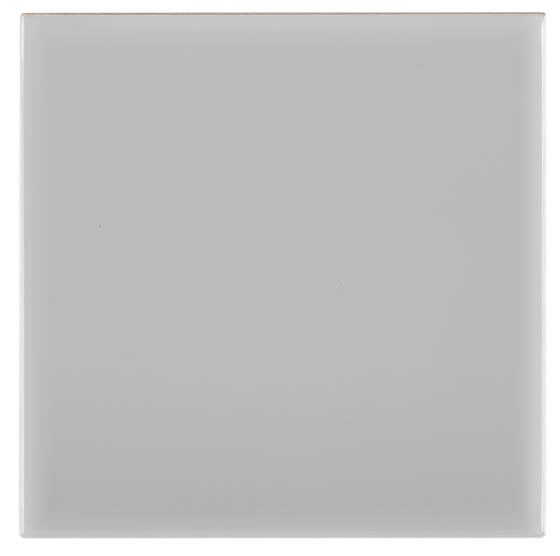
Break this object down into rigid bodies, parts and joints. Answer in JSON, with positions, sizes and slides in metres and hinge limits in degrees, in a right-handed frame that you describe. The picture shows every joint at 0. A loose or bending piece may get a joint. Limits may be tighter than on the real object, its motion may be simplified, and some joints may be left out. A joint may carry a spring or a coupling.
{
  "type": "ceramic wall tile",
  "caption": "Square glazed ceramic wall tile with a cushioned face, rolled front edges, small corner radii and a waffle back for adhesive.",
  "frame": {"origin": "middle of the tile, in the plane that the crests of the back ribs rest on", "axes": "+Z out of the glazed face, +X and +Y along the sides; seen face on with +X to the right, +Y is up"},
  "size_m": [0.15, 0.15, 0.008],
  "materials": {
    "glazed_clay": "glossy light grey glaze on a fired clay body"
  },
  "bodies": {
    "root": {"tile": "glazed_clay"}
  },
  "joints": []
}
